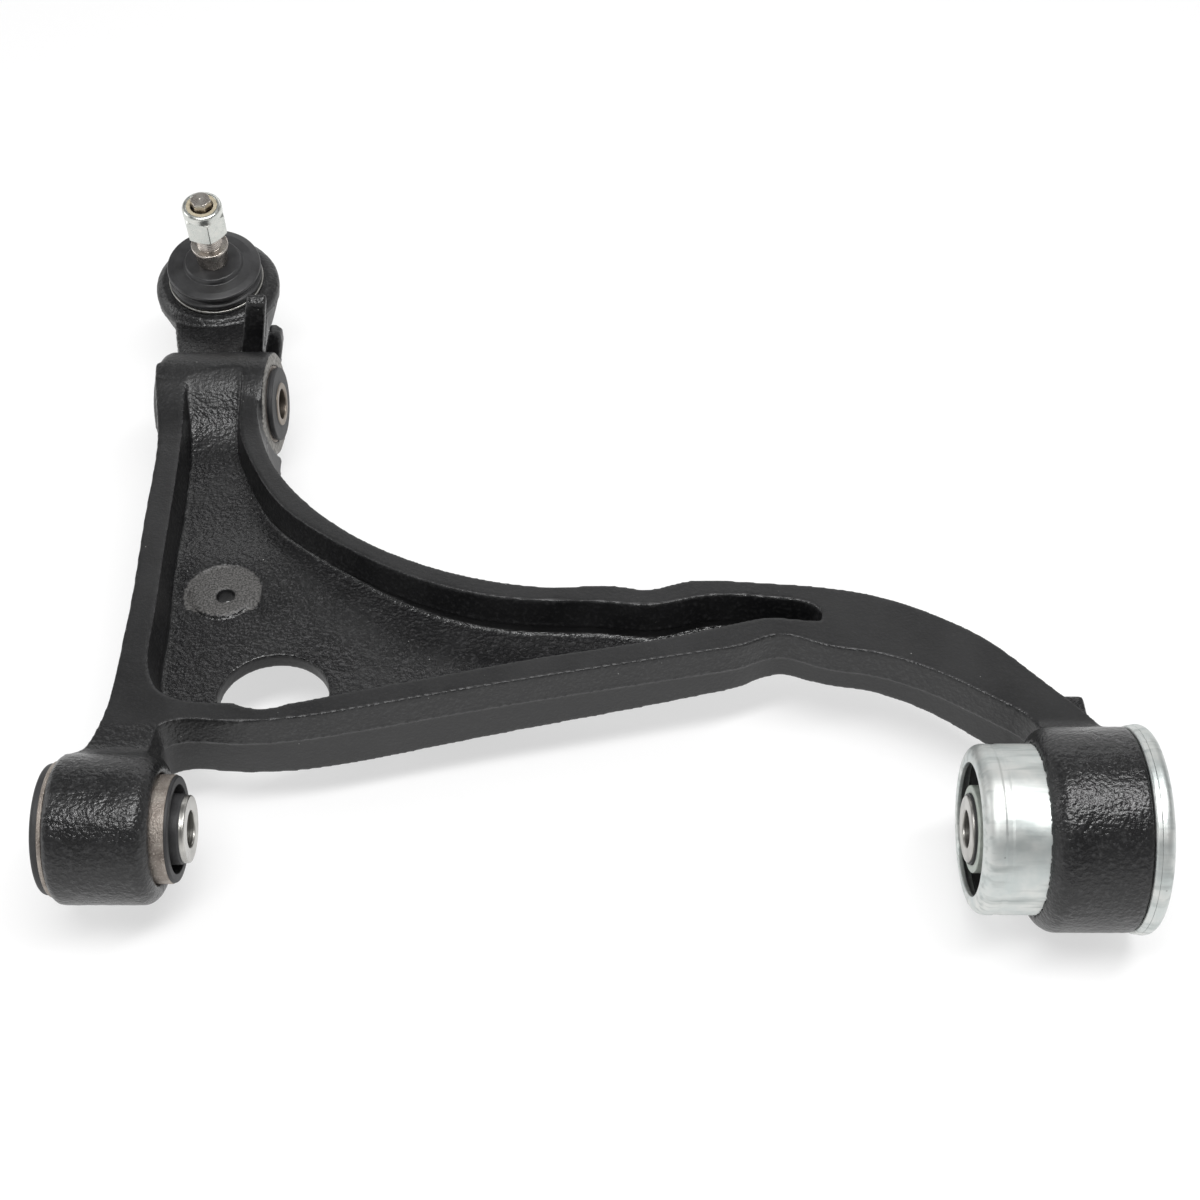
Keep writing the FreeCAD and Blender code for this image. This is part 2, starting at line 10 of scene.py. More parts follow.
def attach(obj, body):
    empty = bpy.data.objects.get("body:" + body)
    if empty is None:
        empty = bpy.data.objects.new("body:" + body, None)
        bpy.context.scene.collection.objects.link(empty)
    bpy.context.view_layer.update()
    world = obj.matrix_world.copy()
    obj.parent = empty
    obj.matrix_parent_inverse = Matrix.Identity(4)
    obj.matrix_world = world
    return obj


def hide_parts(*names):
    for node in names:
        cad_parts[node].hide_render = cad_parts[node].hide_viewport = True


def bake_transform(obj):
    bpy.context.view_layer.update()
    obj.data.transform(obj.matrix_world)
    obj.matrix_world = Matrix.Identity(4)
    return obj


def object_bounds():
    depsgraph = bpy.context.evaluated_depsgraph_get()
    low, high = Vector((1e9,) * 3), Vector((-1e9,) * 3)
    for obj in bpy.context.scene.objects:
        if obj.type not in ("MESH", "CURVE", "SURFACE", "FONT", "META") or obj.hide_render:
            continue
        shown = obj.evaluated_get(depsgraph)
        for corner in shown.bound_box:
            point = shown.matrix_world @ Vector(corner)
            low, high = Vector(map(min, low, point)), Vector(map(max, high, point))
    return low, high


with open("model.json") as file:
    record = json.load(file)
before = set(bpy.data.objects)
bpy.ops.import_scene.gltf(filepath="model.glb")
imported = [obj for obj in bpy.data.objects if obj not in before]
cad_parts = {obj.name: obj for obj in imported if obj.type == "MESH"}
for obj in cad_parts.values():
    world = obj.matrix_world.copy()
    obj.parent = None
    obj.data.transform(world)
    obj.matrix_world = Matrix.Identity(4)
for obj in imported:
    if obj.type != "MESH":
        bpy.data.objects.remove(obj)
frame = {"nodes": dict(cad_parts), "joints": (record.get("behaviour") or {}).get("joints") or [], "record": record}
cad_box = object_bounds()

MM = 0.001
WELD = 0.002 * MM  # points closer than this are one
NODES = frame["nodes"]
JOINTS = {joint["name"]: joint for joint in frame["joints"]}
MOUNTS = {mount["name"]: mount for mount in frame["record"]["mounts"]}

# Places read from the frame, in metres.
BALL = Vector(JOINTS["stud_spin"]["pos_m"])
BALL_AXIS = Vector(JOINTS["stud_spin"]["axis"])
STRUT = Vector(MOUNTS["strut_bush_bore"]["pos_m"])
STRUT_AXIS = Vector(MOUNTS["strut_bush_bore"]["axis"])
ORIGIN = Vector((0, 0, 0))
X_AXIS = Vector((1, 0, 0))


# ---------------------------------------------------------------- mesh helpers
def add_object(name, mesh, body, material, slot, *nodes):
    """Links a mesh as a piece that rides a body and stands for the CAD nodes named."""
    piece = bpy.data.objects.new(name, mesh)
    bpy.context.scene.collection.objects.link(piece)
    piece.data.materials.clear()
    piece.data.materials.append(material)
    if body:
        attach(piece, body)
    if nodes:
        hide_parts(*nodes)
    return piece


def rounded(profile, steps=5):
    """Profile corners (along, radius, rounding) in mm turned into a smooth closed polyline."""
    points = []
    count = len(profile)
    for i, (along, radius, rounding) in enumerate(profile):
        corner = Vector((along, radius))
        if rounding == 0:
            points.append(corner)
            continue
        back = (Vector(profile[i - 1][:2]) - corner).normalized()
        ahead = (Vector(profile[(i + 1) % count][:2]) - corner).normalized()
        half = back.angle(ahead) / 2
        centre = corner + (back + ahead).normalized() * (rounding / math.sin(half))
        first = corner + back * (rounding / math.tan(half)) - centre
        last = corner + ahead * (rounding / math.tan(half)) - centre
        for k in range(steps + 1):
            spoke = first.lerp(last, k / steps).normalized() * rounding
            points.append(centre + spoke)
    return points


def finely(points, step):
    """The closed polyline with every run longer than step, in mm, cut into equal parts."""
    result = []
    for i, start in enumerate(points):
        end = points[(i + 1) % len(points)]
        parts = max(1, math.ceil((end - start).length / step))
        result += [start.lerp(end, k / parts) for k in range(parts)]
    return result


def lathe(profile, centre=ORIGIN, axis=X_AXIS, segments=144, shape=None):
    """Closed mesh turned round an axis; shape(along, radius, angle) may change each radius."""
    turn = X_AXIS.rotation_difference(axis)
    mesh = bmesh.new()
    rings = []
    for along, radius in profile:
        ring = []
        for k in range(segments):
            angle = 2 * math.pi * k / segments
            reach = shape(along, radius, angle) if shape else radius
            spot = Vector((along, reach * math.cos(angle), reach * math.sin(angle))) * MM
            ring.append(mesh.verts.new(centre + turn @ spot))
        rings.append(ring)
    for i, here in enumerate(rings):
        there = rings[(i + 1) % len(rings)]
        for k in range(segments):
            after = (k + 1) % segments
            mesh.faces.new((here[k], here[after], there[after], there[k]))
    bmesh.ops.remove_doubles(mesh, verts=mesh.verts, dist=WELD)
    bmesh.ops.recalc_face_normals(mesh, faces=mesh.faces)
    result = bpy.data.meshes.new("turned")
    mesh.to_mesh(result)
    mesh.free()
    result.shade_smooth()
    return result


def hexagon_reach(across_flats, turn, angle):
    """Distance from the centre of a hexagon to its side, at an angle in radians."""
    off_corner = (angle - math.radians(turn)) % (math.pi / 3)
    return across_flats / 2 / math.cos(off_corner - math.pi / 6)


# ---------------------------------------------------------------- shader helpers
class Shader:
    """A material with its Principled shader and short ways to add nodes."""

    def __init__(self, name, colour, metallic=0.0, roughness=0.5):
        self.material = bpy.data.materials.new(name)
        self.material.use_nodes = True
        self.tree = self.material.node_tree
        self.main = self.tree.nodes["Principled BSDF"]
        self.main.inputs["Base Color"].default_value = (*colour, 1)
        self.main.inputs["Metallic"].default_value = metallic
        self.main.inputs["Roughness"].default_value = roughness
        self.where = self.tree.nodes.new("ShaderNodeTexCoord").outputs["Object"]
        self.height = None

    def noise(self, scale, detail=3.0, roughness=0.5, stretch=None):
        """Noise of the given scale, in cycles per metre, stretched along the axes if asked."""
        node = self.tree.nodes.new("ShaderNodeTexNoise")
        node.inputs["Scale"].default_value = scale
        node.inputs["Detail"].default_value = detail
        node.inputs["Roughness"].default_value = roughness
        self.tree.links.new(self.mapped(stretch), node.inputs["Vector"])
        return node.outputs["Fac"]

    def cells(self, scale):
        """Distance to the nearest of scattered points."""
        node = self.tree.nodes.new("ShaderNodeTexVoronoi")
        node.feature = "F1"
        node.inputs["Scale"].default_value = scale
        self.tree.links.new(self.where, node.inputs["Vector"])
        return node.outputs["Distance"]

    def mapped(self, stretch):
        """Object coordinates, scaled along each axis if asked."""
        if stretch is None:
            return self.where
        node = self.tree.nodes.new("ShaderNodeMapping")
        node.inputs["Scale"].default_value = stretch
        self.tree.links.new(self.where, node.inputs["Vector"])
        return node.outputs["Vector"]

    def ramp(self, value, low, high, start=0.0, end=1.0):
        """Maps value from low..high to start..end, held at both ends."""
        node = self.tree.nodes.new("ShaderNodeMapRange")
        node.inputs["From Min"].default_value = low
        node.inputs["From Max"].default_value = high
        node.inputs["To Min"].default_value = start
        node.inputs["To Max"].default_value = end
        self.tree.links.new(value, node.inputs["Value"])
        return node.outputs["Result"]

    def combine(self, operation, first, second):
        """Math on two values, each a socket or a number."""
        node = self.tree.nodes.new("ShaderNodeMath")
        node.operation = operation
        for socket, value in zip(node.inputs, (first, second)):
            if isinstance(value, (int, float)):
                socket.default_value = value
            else:
                self.tree.links.new(value, socket)
        return node.outputs["Value"]

    def blend_colours(self, factor, first, second):
        """Colour between two, each an RGB triple or a socket."""
        node = self.tree.nodes.new("ShaderNodeMix")
        node.data_type = "RGBA"
        self.tree.links.new(factor, node.inputs["Factor"])
        for socket, value in ((node.inputs["A"], first), (node.inputs["B"], second)):
            if isinstance(value, tuple):
                socket.default_value = (*value, 1)
            else:
                self.tree.links.new(value, socket)
        return node.outputs["Result"]

    def attribute(self, name):
        """A per-vertex mask of the mesh."""
        node = self.tree.nodes.new("ShaderNodeAttribute")
        node.attribute_name = name
        return node.outputs["Fac"]

    def colour(self, socket):
        self.tree.links.new(socket, self.main.inputs["Base Color"])

    def rough(self, socket):
        self.tree.links.new(socket, self.main.inputs["Roughness"])

    def metal(self, socket):
        self.tree.links.new(socket, self.main.inputs["Metallic"])

    def bump(self, height, distance):
        """Adds a bump of the given distance in mm on top of those already added."""
        node = self.tree.nodes.new("ShaderNodeBump")
        node.inputs["Distance"].default_value = distance * MM
        node.inputs["Strength"].default_value = 1.0
        self.tree.links.new(height, node.inputs["Height"])
        if self.height:
            self.tree.links.new(self.height, node.inputs["Normal"])
        self.height = node.outputs["Normal"]
        self.tree.links.new(self.height, self.main.inputs["Normal"])


# ---------------------------------------------------------------- materials
# The casting's coat: noise rates in cycles per metre, depths in mm, and colours.
PEBBLE_RATE, PEBBLE_DEPTH = 600, 0.55
GRAIN_RATE, GRAIN_DEPTH = 1150, 0.12
DRIFT_RATE = 35
COAT_DARK = (0.006, 0.006, 0.0065)
COAT_PALE = (0.011, 0.011, 0.0115)
# Lighter colour painted on the pebble crests: a painted highlight standing in for glints.
CREST_HIGHLIGHT = (0.03, 0.03, 0.031)
BLASTED_DARK = (0.03, 0.029, 0.028)
BLASTED_PALE = (0.17, 0.165, 0.16)
CHIP = (0.5, 0.5, 0.48)
MACHINED_DARK = (0.16, 0.155, 0.145)
MACHINED_PALE = (0.34, 0.33, 0.31)


def casting_material():
    """Semi-gloss black coat on a sand-cast skin: pebbled on web and bosses, calmer on rims."""
    shader = Shader("cast_black_coat", (0.008, 0.008, 0.0085), roughness=0.26)
    coarse = shader.attribute("coarse")
    pale = shader.attribute("pale")
    bare = shader.attribute("bare")
    pebbles = shader.noise(PEBBLE_RATE, 2.0, 0.45)
    grain = shader.noise(GRAIN_RATE, 2.0, 0.5)
    drift = shader.noise(DRIFT_RATE, 2.0, 0.5)
    tone = coat_tone(shader, pebbles, grain, drift, coarse, pale)
    machined = shader.blend_colours(shader.ramp(pebbles, 0.35, 0.65), MACHINED_DARK, MACHINED_PALE)
    shader.colour(shader.blend_colours(bare, tone, machined))
    shader.metal(bare)
    calm = shader.ramp(drift, 0.3, 0.7, 0.2, 0.3)
    smoother = shader.combine("MULTIPLY", shader.combine("SUBTRACT", 1.0, coarse), 0.24)
    duller = shader.combine("MULTIPLY", shader.combine("MAXIMUM", pale, bare), 0.2)
    shader.rough(shader.combine("ADD", shader.combine("ADD", calm, smoother), duller))
    shader.bump(shader.combine("MULTIPLY", pebbles, coarse), PEBBLE_DEPTH)
    fine = shader.combine("ADD", shader.combine("MULTIPLY", coarse, 0.5), 0.5)
    shader.bump(shader.combine("MULTIPLY", grain, fine), GRAIN_DEPTH)
    return shader.material


def coat_tone(shader, pebbles, grain, drift, coarse, pale):
    """Colour of the coat: a painted highlight on the pebble crests, the pale blasted pad and a few small chips."""
    tone = shader.blend_colours(shader.ramp(drift, 0.35, 0.65), COAT_DARK, COAT_PALE)
    # The pebble crests get a lighter colour, a painted highlight where the bumps would catch the light.
    crest_highlights = shader.combine("MULTIPLY", shader.ramp(pebbles, 0.52, 0.72), coarse)
    tone = shader.blend_colours(crest_highlights, tone, CREST_HIGHLIGHT)
    ground = shader.combine("MULTIPLY", shader.ramp(grain, 0.4, 0.6), 0.6)
    tone = shader.blend_colours(pale, tone, shader.blend_colours(ground, BLASTED_DARK, BLASTED_PALE))
    specks = shader.ramp(shader.cells(170), 0.045, 0.025)
    sparse = shader.combine("MULTIPLY", specks, shader.ramp(shader.noise(60, 1.0), 0.53, 0.58))
    return shader.blend_colours(sparse, tone, CHIP)


def zinc_material():
    """Zinc plate gone slightly cloudy, with soft streaks from forming and a few stains."""
    shader = Shader("zinc_plate", (0.64, 0.66, 0.65), 1.0, 0.48)
    clouds = shader.noise(70, 3.0, 0.6)
    streaks = shader.noise(230, 2.0, 0.6, (0.15, 1.0, 1.0))
    cloudiness = shader.ramp(clouds, 0.35, 0.65)
    tint = shader.blend_colours(cloudiness, (0.56, 0.60, 0.59), (0.70, 0.71, 0.69))
    tint = shader.blend_colours(shader.ramp(streaks, 0.5, 0.75), tint, (0.44, 0.47, 0.46))
    stains = shader.ramp(shader.cells(95), 0.05, 0.02)
    shader.colour(shader.blend_colours(stains, tint, (0.36, 0.38, 0.37)))
    shader.rough(shader.ramp(shader.combine("ADD", clouds, streaks), 0.7, 1.3, 0.4, 0.56))
    shader.bump(streaks, 0.06)
    shader.bump(shader.noise(900, 2.0), 0.03)
    return shader.material


def steel_material(name, colour, roughness):
    """Turned steel with lathe marks round the pivot axis."""
    shader = Shader(name, colour, 1.0, roughness)
    marks = shader.noise(900, 2.0, 0.6, (1.0, 0.02, 0.02))
    clouds = shader.noise(90, 3.0, 0.6)
    dark = tuple(0.62 * c for c in colour)
    shader.colour(shader.blend_colours(shader.ramp(clouds, 0.3, 0.75), dark, colour))
    shader.rough(shader.ramp(marks, 0.3, 0.7, roughness - 0.08, roughness + 0.1))
    shader.bump(marks, 0.05)
    return shader.material


def raw_steel_material():
    """Untreated phosphated steel tube: dull brown-grey and pitted."""
    shader = Shader("raw_steel_tube", (0.30, 0.27, 0.24), 0.85, 0.55)
    grit = shader.noise(1100, 3.0, 0.6)
    clouds = shader.noise(120, 3.0, 0.6)
    cloudiness = shader.ramp(clouds, 0.35, 0.7)
    tone = shader.blend_colours(cloudiness, (0.20, 0.17, 0.15), (0.42, 0.38, 0.34))
    shader.colour(shader.blend_colours(shader.ramp(grit, 0.55, 0.7), tone, (0.55, 0.50, 0.45)))
    shader.rough(shader.ramp(grit, 0.3, 0.7, 0.4, 0.68))
    shader.bump(grit, 0.35)
    return shader.material


def stud_material():
    """Polished stud: warm grey steel with a faint satin on it."""
    shader = Shader("polished_stud", (0.56, 0.52, 0.48), 1.0, 0.26)
    clouds = shader.noise(160, 3.0, 0.6)
    cloudiness = shader.ramp(clouds, 0.35, 0.7)
    shader.colour(shader.blend_colours(cloudiness, (0.50, 0.45, 0.41), (0.60, 0.57, 0.53)))
    shader.rough(shader.ramp(clouds, 0.3, 0.7, 0.2, 0.32))
    shader.bump(shader.noise(1500, 2.0), 0.006)
    return shader.material


def nut_material():
    """Bright plated nut with faint rub marks."""
    shader = Shader("nut_plate", (0.66, 0.67, 0.64), 1.0, 0.28)
    clouds = shader.noise(220, 3.0, 0.6)
    cloudiness = shader.ramp(clouds, 0.4, 0.7)
    shader.colour(shader.blend_colours(cloudiness, (0.58, 0.60, 0.57), (0.72, 0.72, 0.68)))
    shader.rough(shader.ramp(clouds, 0.3, 0.7, 0.22, 0.36))
    shader.bump(shader.noise(1100, 2.0), 0.01)
    return shader.material


def rubber_material(name, colour, roughness, grain):
    """Moulded black rubber with a dusty bloom."""
    shader = Shader(name, colour, 0.0, roughness)
    bloom = shader.noise(80, 3.0, 0.6)
    pores = shader.noise(1600, 2.0, 0.5)
    paler = tuple(min(1.0, c * 1.8 + 0.004) for c in colour)
    shader.colour(shader.blend_colours(shader.ramp(bloom, 0.4, 0.75), colour, paler))
    shader.rough(shader.ramp(bloom, 0.3, 0.7, roughness - 0.06, roughness + 0.08))
    shader.bump(pores, grain)
    return shader.material


def plastic_material(name, colour, roughness):
    """Moulded plastic with slight mottling."""
    shader = Shader(name, colour, 0.0, roughness)
    mottle = shader.noise(300, 3.0, 0.5)
    darker = tuple(0.78 * c for c in colour)
    shader.colour(shader.blend_colours(shader.ramp(mottle, 0.35, 0.7), darker, colour))
    shader.rough(shader.ramp(mottle, 0.3, 0.7, roughness, roughness + 0.12))
    shader.bump(mottle, 0.04)
    return shader.material


def alloy_material():
    """Pale grey-green die-cast alloy."""
    shader = Shader("core_alloy", (0.42, 0.46, 0.42), 0.35, 0.5)
    mottle = shader.noise(240, 3.0, 0.6)
    patches = shader.ramp(mottle, 0.3, 0.7)
    shader.colour(shader.blend_colours(patches, (0.34, 0.38, 0.34), (0.48, 0.52, 0.47)))
    shader.rough(shader.ramp(mottle, 0.3, 0.7, 0.42, 0.6))
    shader.bump(mottle, 0.08)
    return shader.material


# ---------------------------------------------------------------- the casting
VOXEL = 0.9 * MM
PAD = (24.5, 148.5, 19.0)  # raised pad on the web: its centre's x and y and its radius, in mm

# Bore radii in the casting, and how far past them the skin is left exact, in mm.
FRONT_BORE = 23.7
REAR_BORE = 37.0
STRUT_BORE = 21.0
EXACT_RIM = 0.9

# The turned face round the strut bore: its place along the axis and its radius, in mm.
STRUT_FACE = (32.9, 30.0)

# Heights of the mould's parting line, in mm: on the arm, and round the two pivot bosses.
ARM_PARTING = -0.8
FRONT_BOSS_PARTING = -31.9
REAR_BOSS_PARTING = -42.2
BOSS_REACH = 42  # how far outboard the pivot bosses reach, in mm

# How coarse each part of the skin is, from 0 for smooth to 1.
BOSS_SKIN = 0.85
UPPER_WALL_SKIN = 0.6
LOWER_WALL_SKIN = 0.22
INNER_RIM_SKIN = 0.2
OUTER_RIM_SKIN = 0.5
WEB_SKIN = 1.0
LOWER_HALF_SKIN = 0.3

# Displacement of the skin: height in mm of each noise, with its rate in cycles per mm.
OUTWARD = 0.15
SWELL = (0.05, 0.12)
PEBBLES = ((0.26, 0.15), (0.45, 0.09))
FLASH_HALF_WIDTH = 0.9


def distance_from_axis(points, centre, axis):
    """Distance of each point from an axis, and how far along the axis it lies, in mm."""
    offset = points - np.array(centre)
    along = offset @ np.array(axis)
    return np.linalg.norm(offset - np.outer(along, axis), axis=1) / MM, along / MM


def softening_weights(points):
    """How much each vertex of the casting may be smoothed: nothing at the bores' rims."""
    weight = np.ones(len(points))
    front, along = distance_from_axis(points, ORIGIN, X_AXIS)
    near = [(front, FRONT_BORE, along < 60), (front, REAR_BORE, along > 350)]
    strut, along = distance_from_axis(points, STRUT, STRUT_AXIS)
    near.append((strut, STRUT_BORE, np.abs(along) < 45))
    for radius, bore, here in near:
        weight[here & (radius < bore + EXACT_RIM)] = 0.0
    return weight


def cast_mesh():
    """The casting's CAD mesh remeshed evenly, with its edges and hollows softened."""
    mesh = NODES["arm_casting"].data.copy()
    shell = bmesh.new()
    shell.from_mesh(mesh)
    bmesh.ops.remove_doubles(shell, verts=shell.verts, dist=WELD)
    shell.to_mesh(mesh)
    shell.free()
    carrier = bpy.data.objects.new("carrier", mesh)
    bpy.context.scene.collection.objects.link(carrier)
    remesh = carrier.modifiers.new("even", "REMESH")
    remesh.mode = "VOXEL"
    remesh.voxel_size = VOXEL
    even = baked(carrier)
    points = triples(even.vertices, "co")
    carrier.modifiers.clear()
    carrier.data = even
    group = carrier.vertex_groups.new(name="soft")
    for weight in (0.0, 1.0):
        chosen = np.nonzero(softening_weights(points) == weight)[0]
        group.add(chosen.tolist(), weight, "REPLACE")
    smooth = carrier.modifiers.new("soft", "SMOOTH")
    smooth.vertex_group = "soft"
    smooth.factor = 0.5
    smooth.iterations = 7
    soft = baked(carrier)
    bpy.data.objects.remove(carrier)
    return soft


def baked(carrier):
    """The object's mesh with its modifiers applied, as a new mesh."""
    graph = bpy.context.evaluated_depsgraph_get()
    return bpy.data.meshes.new_from_object(carrier.evaluated_get(graph))


def triples(items, field):
    """A three-number field of every item, one row each."""
    flat = np.empty(len(items) * 3)
    items.foreach_get(field, flat)
    return flat.reshape(-1, 3)


def casting_zones(points, normals):
    """Per-vertex masks: coarse skin, pale blasted skin, bare machined metal."""
    x, y, z = (points / MM).T
    up = normals[:, 2]
    pad = np.hypot(x - PAD[0], y - PAD[1])
    strut, along_strut = distance_from_axis(points, STRUT, STRUT_AXIS)
    coarse = np.full(len(points), BOSS_SKIN)
    on_wall = fade(0.65, 0.45, np.abs(up)) * (y > BOSS_REACH)
    wall_skin = np.where(z > ARM_PARTING, UPPER_WALL_SKIN, LOWER_WALL_SKIN)
    coarse += on_wall * (wall_skin - coarse)
    on_rim = fade(0.7, 0.9, up) * fade(11, 13.5, z) * fade(44, 50, y)
    rim_skin = fade(255, 275, y) * (OUTER_RIM_SKIN - INNER_RIM_SKIN) + INNER_RIM_SKIN
    coarse += on_rim * (rim_skin - coarse)
    in_web = fade(0.5, 0.75, up) * fade(13.5, 10.5, z) * fade(50, 56, y) * fade(300, 285, y)
    coarse += in_web * (WEB_SKIN - coarse)
    smoother = below_parting(points) & (in_web == 0)
    coarse = np.where(smoother, np.minimum(coarse, LOWER_HALF_SKIN), coarse)
    pale = ((pad < PAD[2]) & (up > 0.8) & (z < -1) & (z > -4.5)).astype(float)
    faces_bush = normals @ np.array(STRUT_AXIS) > 0.8
    face_place, face_radius = STRUT_FACE
    on_face = (np.abs(along_strut - face_place) < 0.8) & (strut < face_radius)
    bare = (on_face & faces_bush).astype(float)
    return coarse, pale, bare


def fade(start, end, values):
    """Smooth step from 0 at start to 1 at end."""
    t = np.clip((values - start) / (end - start), 0, 1)
    return t * t * (3 - 2 * t)


def below_parting(points):
    """Where the mould's lower half formed the skin; round the bosses it starts much lower."""
    x, y, z = (points / MM).T
    line = np.full(len(points), ARM_PARTING)
    line = np.where((x < 30) & (y < BOSS_REACH), FRONT_BOSS_PARTING, line)
    line = np.where((x > 380) & (y < BOSS_REACH), REAR_BOSS_PARTING, line)
    return z < line


def roughen(mesh, points, normals, coarse, bare):
    """Pushes the skin in and out along its normals, as a sand mould leaves it."""
    turn = np.array(Euler((0.7, 0.4, 1.1)).to_matrix())
    spots = (points / MM) @ turn + 31.7
    flash = parting_flash(points, normals)
    moved = np.empty_like(points)
    for i, spot in enumerate(spots):
        swell = noise.noise(spot * SWELL[0]) * SWELL[1]
        pebble = sum(noise.noise(spot * rate) * height for rate, height in PEBBLES)
        push = (OUTWARD + swell + pebble * coarse[i] + flash[i]) * (1 - bare[i])
        moved[i] = points[i] + normals[i] * push * MM
    keep = softening_weights(points) == 0
    moved[keep] = points[keep]
    mesh.vertices.foreach_set("co", moved.ravel())
    mesh.update()


def parting_flash(points, normals):
    """Height in mm of the ragged fin along the outer walls' parting line."""
    x, y, z = (points / MM).T
    outer = (np.abs(normals[:, 2]) < 0.5) & (y > 46)
    ragged = 0.5 + 0.5 * np.sin(x * 0.9 + np.sin(y * 1.3) * 2.0)
    fin = np.clip(1 - np.abs(z) / FLASH_HALF_WIDTH, 0, 1) * (0.25 + 0.3 * ragged)
    return np.where(outer, fin, 0)


def write_mask(mesh, name, values):
    """Stores one number per vertex, for the material to read."""
    layer = mesh.attributes.new(name, "FLOAT", "POINT")
    layer.data.foreach_set("value", values.astype(np.float32))


def build_casting(material):
    """The casting's skin, ridden by the arm."""
    mesh = cast_mesh()
    points = triples(mesh.vertices, "co")
    normals = triples(mesh.vertex_normals, "vector")
    coarse, pale, bare = casting_zones(points, normals)
    roughen(mesh, points, normals, coarse, bare)
    for name, values in (("coarse", coarse), ("pale", pale), ("bare", bare)):
        write_mask(mesh, name, values)
    mesh.shade_smooth()
    add_object("arm_casting_skin", mesh, "arm", material, "casting", "arm_casting")


# ---------------------------------------------------------------- the boot
BOOT_LOWER = [  # foot, clamp groove and first fold of the gaiter: height, radius, rounding
    (13.4, 24.0, 0), (13.4, 25.1, 0.3), (16.4, 25.1, 0.5), (17.2, 26.5, 0.7), (19.6, 26.6, 0.8),
    (20.7, 24.7, 0.9), (22.4, 24.9, 0.8), (23.8, 26.4, 0), (23.6, 24.6, 0), (20.7, 23.1, 0.8),
    (18.4, 24.6, 0.6), (16.4, 23.6, 0.6)]
BOOT_UPPER = [  # wide flat-topped fold and the lip that grips the stud
    (23.6, 24.6, 0), (23.8, 26.4, 0), (26.2, 26.7, 1.1), (27.2, 22.5, 0.6), (27.6, 16.9, 0.6),
    (29.0, 16.4, 0.5), (30.4, 15.6, 1.1), (30.6, 8.4, 0.8), (28.8, 6.9, 0.4), (27.6, 6.9, 0.2),
    (27.5, 12.3, 0.6), (25.8, 17.0, 1.0), (25.2, 23.4, 1.0)]


def build_boot(material):
    """The gaiter turned in two pieces."""

    lower = lathe(rounded(BOOT_LOWER), BALL, BALL_AXIS)
    upper = lathe(rounded(BOOT_UPPER), BALL, BALL_AXIS)
    piece = add_object("ball_boot_lower", lower, None, material, "boot_rubber", "ball_boot")
    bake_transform(piece)
    piece = add_object("ball_boot_upper", upper, None, material, "boot_rubber", "ball_boot")
    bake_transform(piece)


# ---------------------------------------------------------------- stud and nut
THREAD = (44.2, 71.5, 1.5, 0.8)  # start, end, pitch and depth in mm
STUD_TIP = (72.2, 10.0, 42)      # start, across flats, turn in degrees
NUT_FLATS = (54.5, 69.9, 21.0, 32)  # start, end, across flats, turn in degrees
TURNING_STEP = 0.3  # mm between rings, fine enough for the thread
STUD = [  # ball, neck, reversed cone, shoulder, shank and tip: height, radius, rounding
    (-14.5, 0, 0), (-14.5, 6.5, 0.5), (-12.2, 10.2, 2), (-6, 14.9, 4), (0, 16.2, 9),
    (6, 14.9, 4), (10.5, 11.8, 3), (14, 7.4, 3), (19, 7.0, 3), (27, 7.9, 4),
    (41.6, 9.9, 0.4), (42.1, 10.4, 0.4), (43.8, 10.4, 0.5), (44.0, 8.0, 0.3),
    (44.2, 6.9, 0), (71.3, 6.9, 0.5), (72.2, 5.0, 0), (72.2, 5.85, 0),
    (78.8, 5.85, 0.4), (79.6, 5.0, 0.2), (79.6, 0.6, 0), (79.1, 0, 0)]
NUT = [  # hexagon, locking collar and the seat of its nylon ring
    (54.6, 7.1, 0), (54.6, 9.8, 0.3), (55.9, 12.2, 0), (68.7, 12.2, 0), (69.9, 10.7, 0),
    (69.9, 11.0, 0.2), (74.9, 11.0, 1.9), (74.9, 8.5, 0.4), (71.6, 8.5, 0), (71.6, 7.1, 0)]


def stud_shape(along, radius, angle):
    """Thread on the stud's shank and flats on its tip."""
    start, end, pitch, depth = THREAD
    if start < along < end:
        turn = (along / pitch - angle / (2 * math.pi)) % 1
        fade_in = min(1, (along - start) / pitch, (end - along) / pitch)
        return radius - depth * fade_in * abs(2 * turn - 1)
    tip_start, across_flats, tip_turn = STUD_TIP
    if along >= tip_start:
        return min(radius, hexagon_reach(across_flats, tip_turn, angle))
    return radius


def nut_shape(along, radius, angle):
    """Flats on the nut's hexagon; its bore stays round."""
    start, end, across_flats, turn = NUT_FLATS
    if start < along < end and radius > 8:
        return min(radius, hexagon_reach(across_flats, turn, angle))
    return radius


def build_stud(steel, zinc):
    """The turned stud with its thread, and the nut with its flats."""
    stud = lathe(finely(rounded(STUD), TURNING_STEP), BALL, BALL_AXIS, 180, stud_shape)
    add_object("ball_stud_turned", stud, "stud", steel, "bright_steel", "ball_stud")
    nut = lathe(finely(rounded(NUT), TURNING_STEP), BALL, BALL_AXIS, 180, nut_shape)
    add_object("ball_nut_turned", nut, "nut", zinc, "zinc", "ball_nut")


# ---------------------------------------------------------------- rear bush
CAN = [  # drawn can with a shallow groove and an end flange: place on the axis, radius, rounding
    (371, 29, 0.6), (371, 37, 5.6), (379, 37, 1), (380, 36.75, 1), (382, 36.75, 1), (383, 37, 1),
    (439.1, 37, 0), (439.1, 44.9, 1.4), (441.7, 45.25, 0.2), (441.7, 34.6, 0.2),
    (373.4, 34.6, 3.4), (373.4, 29, 0.6)]
END_RING = [  # bead rolled over the flange
    (441.75, 30, 0), (441.75, 45.25, 0.2), (443.5, 45.6, 2), (447.7, 45.4, 3.8), (447.7, 30, 0.6)]


